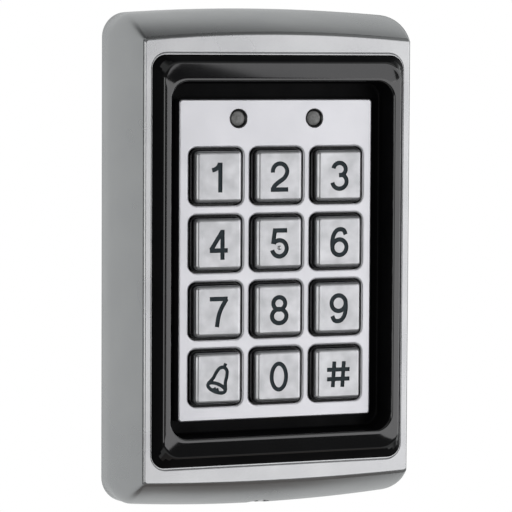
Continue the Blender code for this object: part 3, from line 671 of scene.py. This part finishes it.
# Centre lines of each legend in millimetres from the middle of the key: (points, closed).
LEGENDS = {
    "1": [([(0.25, -3.45), (0.25, 3.35)], False),
          (curve((-1.75, 1.62), (-0.95, 1.85), (-0.25, 2.40), (0.15, 3.20)), False)],
    "2": [(arc(0.0, 1.22, 1.78, 1.76, 190, -22)
           + curve((1.62, 0.45), (0.95, -0.45), (-0.35, -1.30), (-1.35, -2.15), (-1.72, -2.98)), False),
          ([(-2.26, -2.98), (2.05, -2.98)], False)],
    "3": [(arc(-0.05, 1.52, 1.55, 1.46, 172, -62) + [(-0.20, 0.14)], False),
          ([(-0.20, 0.14)] + arc(-0.05, -1.30, 1.80, 1.68, 62, -172), False)],
    "4": [([(0.85, -3.45), (0.85, 3.40)], False), ([(0.80, 3.05), (-1.95, -1.20)], False),
          ([(-2.25, -1.32), (2.15, -1.32)], False)],
    "5": [([(1.85, 3.00), (-1.60, 3.00)], False), ([(-1.13, 3.45), (-1.62, -0.10)], False),
          (arc(-0.05, -1.12, 1.82, 1.86, 140, -168, 26), False)],
    "6": [(SIX_BOWL, True), (SIX_STEM, False)],
    "7": [([(-2.20, 2.98), (2.20, 2.98)], False),
          (curve((1.95, 3.00), (0.75, 1.00), (0.0, -0.90), (-0.42, -3.45)), False)],
    "8": [(arc(0, 1.55, 1.48, 1.42, *RING, 32)[:-1], True),
          (arc(0, -1.38, 1.80, 1.62, *RING, 36)[:-1], True)],
    "9": [([(-x, -z) for x, z in SIX_BOWL], True), ([(-x, -z) for x, z in SIX_STEM], False)],
    "0": [(arc(0, 0, 1.80, 2.98, *RING, 44)[:-1], True)],
    "hash": [([(-1.38, -3.0), (-1.02, 3.0)], False), ([(1.02, -3.0), (1.38, 3.0)], False),
             ([(-2.85, 1.10), (2.85, 1.10)], False), ([(-2.85, -1.10), (2.85, -1.10)], False)],
    "bell": [(arc(0, -2.05, 2.05, 0.85, *RING, 32)[:-1], True),
             (curve((-2.10, -1.85), (-1.45, -0.40), (-1.25, 0.90), (-0.85, 2.00), (0.0, 2.45), (0.85, 2.00),
                    (1.25, 0.90), (1.45, -0.40), (2.10, -1.85)), False),
             ([(0, 2.3), (0, 3.35)], False), ([(-0.55, -2.2), (0.0, -2.75), (0.55, -2.2)], False)],
}
STROKE = 1.08
THIN_STROKE = {"bell": 0.86, "hash": 1.02, "0": 1.02}
LEGEND_SCALE = 1.04
BELL_SCALE = 1.15
BELL_SHIFT = 0.4 * MM
BELL_TILT = math.radians(-22)
ENGRAVING = 0.22 * MM
ENGRAVING_STEP = 0.012 * MM


def ribbon(points, closed, width, centre, front, depth, scale, tilt=0.0):
    """A closed prism that follows a centre line, to engrave one stroke."""
    c, s = scale * math.cos(tilt), scale * math.sin(tilt)
    turned_points = [(x * c - z * s, x * s + z * c) for x, z in points]
    line = [p for k, p in enumerate(turned_points) if k == 0 or math.dist(p, turned_points[k - 1]) > 0.02]
    count = len(line)
    sides = []
    for k, (x, z) in enumerate(line):
        before = line[k - 1] if (closed or k > 0) else None
        after = line[(k + 1) % count] if (closed or k < count - 1) else None
        steps = []
        if before is not None:
            steps.append(Vector((x - before[0], z - before[1])).normalized())
        if after is not None:
            steps.append(Vector((after[0] - x, after[1] - z)).normalized())
        along = sum(steps, Vector((0, 0))).normalized()
        across = Vector((-along.y, along.x))
        reach = width / 2 / max(0.45, abs(along.dot(steps[0])))
        sides.append([(x + across.x * reach * s, z + across.y * reach * s) for s in (1, -1)])
    shape = bmesh.new()
    rows = []
    for pair in sides:
        row = []
        for x, z in pair:
            for y in (front - 1 * MM, front + depth):
                row.append(shape.verts.new((centre[0] + x * MM, y, centre[1] + z * MM)))
        rows.append((row[0], row[1], row[3], row[2]))
    for k in range(count if closed else count - 1):
        here, there = rows[k], rows[(k + 1) % count]
        for m in range(4):
            n = (m + 1) % 4
            shape.faces.new((here[m], here[n], there[n], there[m]))
    if not closed:
        shape.faces.new(rows[0])
        shape.faces.new(rows[-1])
    tool = mesh_object("stroke", shape)
    tool.data.materials.append(LEGEND)
    return tool


def make_key(label):
    """A square metal cap with rounded edges and an engraved, paint-filled legend."""
    x, z = middle("key_" + label)
    low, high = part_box("key_" + label)
    flange = high.x - x
    cap_w = 5.87 * MM
    cap_h = 6.08 * MM
    round_w = 0.9 * MM
    round_h = 0.84 * MM
    side_corner = 1.0 * MM
    front_corner = 0.22 * MM
    front = low.y

    def square(half_w, half_h, corner, depth):
        return depth, outline(half_w, half_h, corner, steps=8, spans=1, centre=(x, z))

    sections = [
        square(PLUNGER_R, PLUNGER_R, PLUNGER_R, high.y),
        square(PLUNGER_R, PLUNGER_R, PLUNGER_R, FLANGE_Y[0]),
        square(flange, flange, side_corner, FLANGE_Y[0]),
        square(flange, flange, side_corner, FLANGE_Y[1]),
        square(cap_w, cap_h, side_corner, FLANGE_Y[1]),
    ]
    for turn in (0, 8, 17, 26, 35, 44, 53, 62, 71, 80, 86):
        c, s = math.cos(math.radians(turn)), math.sin(math.radians(turn))
        corner = side_corner - (side_corner - front_corner) * (1 - c)
        sections.append(square(cap_w - round_w * (1 - c), cap_h - round_h * (1 - c), corner,
                               front + round_w * (1 - s)))
    key = loft("cap_" + label, sections, angle=40)
    key.data.materials.append(KEY_STEEL)
    scale, tilt, spot = LEGEND_SCALE, 0.0, (x, z - 0.1 * MM)
    if label == "bell":
        scale, tilt, spot = BELL_SCALE, BELL_TILT, (x + BELL_SHIFT, z)
    for number, (points, closed) in enumerate(LEGENDS[label]):
        depth = ENGRAVING + ENGRAVING_STEP * number
        carve(key, ribbon(points, closed, THIN_STROKE.get(label, STROKE), spot, front, depth, scale, tilt))
    if label == "5":
        wide, tall, root = 0.55 * MM, 0.28 * MM, -0.3 * MM
        pip = [(wide * math.sin(math.radians(a)), tall * math.cos(math.radians(a))) for a in range(0, 91, 15)]
        dot = turned("pip", pip + [(wide, root), (0, root)], (x, front, z - 1.15 * MM), 24)
        dot.data.materials.append(KEY_STEEL)
        carve(key, dot, "UNION")
    shade(key, 40)
    keep_flat(key)
    return piece(key, None, "key_metal", "key_" + label, body="button_" + label)


# ---------------------------------------------------------------- back, fasteners and inside

def make_grommet():
    """A rubber ring with a cable hole through it and a groove round it for the cover's edge."""
    low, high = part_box("cable_grommet")
    centre = (0, 0, (low.z + high.z) / 2)
    profile = []
    rounded = ((3.5, 4.8, (180, 135, 90)), (7.2, 4.8, (90, 45, 0)), (7.2, 3.8, (0, -45, -90)))
    for radius, depth, turns in rounded:
        inward = 0.25 if radius == 3.5 else -0.25
        dip = 0.25 if depth == 3.8 else -0.25
        for turn in turns:
            c, s = math.cos(math.radians(turn)), math.sin(math.radians(turn))
            profile.append(((radius + inward + 0.25 * c) * MM, (depth + dip + 0.25 * s) * MM))
    profile += [(5.7 * MM, 3.8 * MM), (5.7 * MM, 2.0 * MM), (7.0 * MM, 2.0 * MM), (7.2 * MM, 1.85 * MM),
                (7.1 * MM, 1.6 * MM), (6.8 * MM, 1.5 * MM), (3.9 * MM, 1.5 * MM), (3.6 * MM, 1.6 * MM),
                (3.5 * MM, 1.9 * MM)]
    piece(turned("grommet_ring", profile, centre), RUBBER, "rubber", "cable_grommet")


def screw_profile(length, head_r, shank_r, head):
    """From the thread's end to the middle of the domed head, with a fine thread on the shank."""
    pitch = 0.5 * MM
    profile = [(0, length), (shank_r * 0.7, length)]
    height = length - shank_r * 0.5
    while height > pitch:
        profile += [(shank_r, height), (shank_r * 0.86, height - pitch / 2)]
        height -= pitch
    profile += [(shank_r, 0), (head_r * 0.96, 0), (head_r, -0.06 * MM)]
    for turn in range(0, 91, 15):
        c, s = math.cos(math.radians(turn)), math.sin(math.radians(turn))
        profile.append((head_r * (0.62 + 0.38 * c) if turn < 90 else 0, -(head * 0.45 + head * 0.55 * s)))
    return profile


def make_screw(node, centre, length, head_r, shank_r, head, axis, recess):
    screw = turned(node + "_turned", screw_profile(length, head_r, shank_r, head), centre, 32, axis)
    top = head + 0.3 * MM
    if recess == "cross":
        for wide, tall in ((1.3, 0.3), (0.3, 1.3)):
            low = (centre[0] - wide * MM, centre[1] + 0.15 * MM, centre[2] - tall * MM)
            high = (centre[0] + wide * MM, centre[1] + top, centre[2] + tall * MM)
            carve(screw, box_piece("slot", low, high))
    else:
        star = []
        for k in range(12):
            radius = (1.3 if k % 2 else 0.95) * MM
            angle = math.tau * k / 12
            star.append((radius * math.cos(angle), radius * math.sin(angle)))
        shape = bmesh.new()
        rings = [[shape.verts.new((centre[0] + x, centre[1] + y, centre[2] - drop)) for x, y in star]
                 for drop in (0.25 * MM, top)]
        shape.faces.new(rings[0])
        shape.faces.new(rings[1])
        for k in range(12):
            m = (k + 1) % 12
            shape.faces.new((rings[0][k], rings[0][m], rings[1][m], rings[1][k]))
        carve(screw, mesh_object("star", shape))
        pin = [(0, 0.3 * MM), (0.35 * MM, 0.3 * MM), (0.35 * MM, -0.75 * head), (0.28 * MM, -0.85 * head),
               (0, -0.85 * head)]
        carve(screw, turned("pin", pin, centre, 24, "Z"), "UNION")
    shade(screw, 30)
    piece(screw, SCREW_STEEL, "screw_steel", node)


def make_screws():
    for number in range(1, 5):
        for kind, head_r, head in (("cover", 2.5, 0.9), ("board", 2.4, 1.4)):
            node = f"{kind}_screw_{number}"
            low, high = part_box(node)
            seat = high.y - head * MM
            centre = ((low.x + high.x) / 2, seat, (low.z + high.z) / 2)
            make_screw(node, centre, seat - low.y, head_r * MM, 1.25 * MM, head * MM, "Y", "cross")
    low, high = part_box("security_screw")
    head = 0.9 * MM
    centre = ((low.x + high.x) / 2, (low.y + high.y) / 2, low.z + head)
    make_screw("security_screw", centre, high.z - centre[2], 2.4 * MM, 1.45 * MM, head, "Z", "star")


def make_back_and_inside():
    """The cover, wall plate and relay get rounded edges; the rest keep their CAD solids with a finish."""
    piece(softened("rear_cover", 0.25 * MM), COVER_BLACK, "matte_black", "rear_cover")
    piece(softened("wall_plate", 0.16 * MM), ZINC_SHEET, "zinc_steel", "wall_plate")
    piece(softened("door_relay", 0.1 * MM, 2), CHIP_BLACK, "chip_black", "door_relay")
    finishes = {
        "main_board": BOARD, "antenna_coil": COPPER, "keypad_membrane": SILICONE, "cover_gasket": SILICONE,
        "controller_chip": CHIP_BLACK, "memory_chip": CHIP_BLACK, "voltage_regulator": CHIP_BLACK,
        "buzzer": CHIP_BLACK, "clock_crystal": CAN_METAL, "filter_capacitor": CAN_METAL, "wire_header": NYLON,
        "tamper_sensor": CERAMIC, "led_left": LAMP, "led_right": LAMP,
    }
    for node, look in finishes.items():
        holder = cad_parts[node]
        holder.data.materials.clear()
        holder.data.materials.append(look)


# ---------------------------------------------------------------- camera, light and floor

def make_camera():
    yaw, pitch = CAMERA_YAW, CAMERA_PITCH
    ahead = Vector((math.sin(yaw) * math.cos(pitch), math.cos(yaw) * math.cos(pitch), -math.sin(pitch)))
    level = Vector((math.cos(yaw), -math.sin(yaw), 0))
    right = level * math.cos(CAMERA_ROLL) + level.cross(ahead) * math.sin(CAMERA_ROLL)
    up = right.cross(ahead)
    data = bpy.data.cameras.new("camera")
    data.sensor_width = CAMERA_SENSOR
    data.lens = CAMERA_LENS
    data.clip_start = 0.05
    data.clip_end = 50
    camera = bpy.data.objects.new("camera", data)
    bpy.context.scene.collection.objects.link(camera)
    turn = Matrix((right, up, -ahead)).transposed().to_4x4()
    turn.translation = CAMERA_AIM - ahead * CAMERA_DISTANCE
    camera.matrix_world = turn
    bpy.context.scene.camera = camera


def direction(azimuth, elevation):
    """A level angle to the right of straight ahead of the keys, and a height angle, in degrees."""
    turn, rise = math.radians(azimuth), math.radians(elevation)
    return Vector((math.sin(turn) * math.cos(rise), -math.cos(turn) * math.cos(rise), math.sin(rise)))


def softbox(name, left, right, low, high, brightness, colour=(1, 1, 1), distance=2.5):
    """A rectangular light that fills a range of level angles and height angles as the object sees it."""
    data = bpy.data.lights.new(name, "AREA")
    data.shape = "RECTANGLE"
    data.size = 2 * distance * math.tan(math.radians(right - left) / 2)
    data.size_y = 2 * distance * math.tan(math.radians(high - low) / 2)
    data.energy = brightness * math.pi * data.size * data.size_y
    data.color = colour
    lamp = bpy.data.objects.new(name, data)
    bpy.context.scene.collection.objects.link(lamp)
    away = direction((left + right) / 2, (low + high) / 2)
    lamp.location = away * distance
    lamp.rotation_euler = away.to_track_quat("Z", "Y").to_euler()
    return lamp


def between(nodes, links, value, start, end, low, high):
    """Ease a value from low to high as it goes from start to end."""
    span = nodes.new("ShaderNodeMapRange")
    span.interpolation_type = "SMOOTHSTEP"
    span.inputs["From Min"].default_value = start
    span.inputs["From Max"].default_value = end
    span.inputs["To Min"].default_value = low
    span.inputs["To Max"].default_value = high
    links.new(value, span.inputs["Value"])
    return span.outputs["Result"]


def combine(nodes, links, operation, first, second):
    step = nodes.new("ShaderNodeMath")
    step.operation = operation
    links.new(first, step.inputs[0])
    links.new(second, step.inputs[1])
    return step.outputs["Value"]


def make_world():
    """A soft white band on the side that the wall plate faces, with one dark card in it, and soft light
    high and low on the side that the keys face. The camera itself sees plain white."""
    world = bpy.data.worlds.new("studio")
    bpy.context.scene.world = world
    world.use_nodes = True
    nodes = world.node_tree.nodes
    links = world.node_tree.links
    nodes.clear()
    coordinates = nodes.new("ShaderNodeTexCoord")
    split = nodes.new("ShaderNodeSeparateXYZ")
    links.new(coordinates.outputs["Generated"], split.inputs["Vector"])
    height = nodes.new("ShaderNodeMath")
    height.operation = "ABSOLUTE"
    links.new(split.outputs["Z"], height.inputs[0])
    across, along, tall = split.outputs["X"], split.outputs["Y"], height.outputs["Value"]

    behind = between(nodes, links, along, 0.1, 0.5, 0.0, 1.0)
    level = between(nodes, links, tall, 0.67, 1.06, 1.0, 0.0)
    card_left = between(nodes, links, across, 0.36, 0.48, 0.0, 1.0)
    card_right = between(nodes, links, across, 0.76, 0.88, 1.0, 0.0)
    card_height = between(nodes, links, tall, 0.20, 0.34, 1.0, 0.0)
    card_width = combine(nodes, links, "MULTIPLY", card_left, card_right)
    card = combine(nodes, links, "MULTIPLY", card_width, card_height)
    band = combine(nodes, links, "MULTIPLY", behind, level)
    band = combine(nodes, links, "MULTIPLY", band, between(nodes, links, card, 0.0, 1.0, 1.0, 0.0))

    before = between(nodes, links, along, -0.05, 0.25, 1.0, 0.0)
    steep = between(nodes, links, tall, 0.42, 0.68, 0.0, 1.0)
    pole = between(nodes, links, tall, 0.86, 0.98, 1.0, 0.2)
    fill = combine(nodes, links, "MULTIPLY", combine(nodes, links, "MULTIPLY", before, steep), pole)
    strength = combine(nodes, links, "ADD", between(nodes, links, band, 0.0, 1.0, 0.055, 0.70),
                       between(nodes, links, fill, 0.0, 1.0, 0.0, 0.32))
    lit = nodes.new("ShaderNodeBackground")
    links.new(strength, lit.inputs["Strength"])
    lit.inputs["Color"].default_value = (0.98, 1.0, 1.0, 1)
    seen = nodes.new("ShaderNodeBackground")
    seen.inputs["Strength"].default_value = 1.0
    seen.inputs["Color"].default_value = (1, 1, 1, 1)
    path = nodes.new("ShaderNodeLightPath")
    mix = nodes.new("ShaderNodeMixShader")
    links.new(path.outputs["Is Camera Ray"], mix.inputs["Fac"])
    links.new(lit.outputs["Background"], mix.inputs[1])
    links.new(seen.outputs["Background"], mix.inputs[2])
    output = nodes.new("ShaderNodeOutputWorld")
    links.new(mix.outputs["Shader"], output.inputs["Surface"])


def make_floor():
    """A pale floor well below the reader: white in the picture, dim in the metal's reflections."""
    shape = bmesh.new()
    bmesh.ops.create_grid(shape, x_segments=1, y_segments=1, size=FLOOR_HALF)
    floor = mesh_object("floor", shape)
    floor.location.z = FLOOR_LEVEL
    made, nodes, links = new_material("pale_floor")
    shader = nodes["Principled BSDF"]
    shader.inputs["Roughness"].default_value = 0.9
    vector = position(nodes, links)
    links.new(ramp(nodes, links, noise(nodes, links, vector, 3), (0.30, 0.275, 0.26), (0.33, 0.30, 0.285)),
              shader.inputs["Base Color"])
    glow = nodes.new("ShaderNodeEmission")
    glow.inputs["Color"].default_value = (1, 1, 1, 1)
    glow.inputs["Strength"].default_value = 1.0
    path = nodes.new("ShaderNodeLightPath")
    mix = nodes.new("ShaderNodeMixShader")
    links.new(path.outputs["Is Camera Ray"], mix.inputs["Fac"])
    links.new(shader.outputs["BSDF"], mix.inputs[1])
    links.new(glow.outputs["Emission"], mix.inputs[2])
    links.new(mix.outputs["Shader"], nodes["Material Output"].inputs["Surface"])
    floor.data.materials.append(made)


make_camera()
make_world()
softbox("front_right_low", 14, 94, -21, 6, 1.8, (0.99, 0.985, 1.0))
softbox("front_right_high", 23.5, 96, 6, 34, 1.4, (0.985, 0.98, 1.0))
softbox("front_left", -82, -18, -14, 12, 1.7)
make_floor()

make_case()
make_bezel()
make_plate()
make_key_frame()
make_lamps()
for key_label in KEY_LABELS:
    make_key(key_label)
make_grommet()
make_screws()
make_back_and_inside()

bpy.context.scene.view_settings.view_transform = "Standard"
bpy.context.view_layer.update()
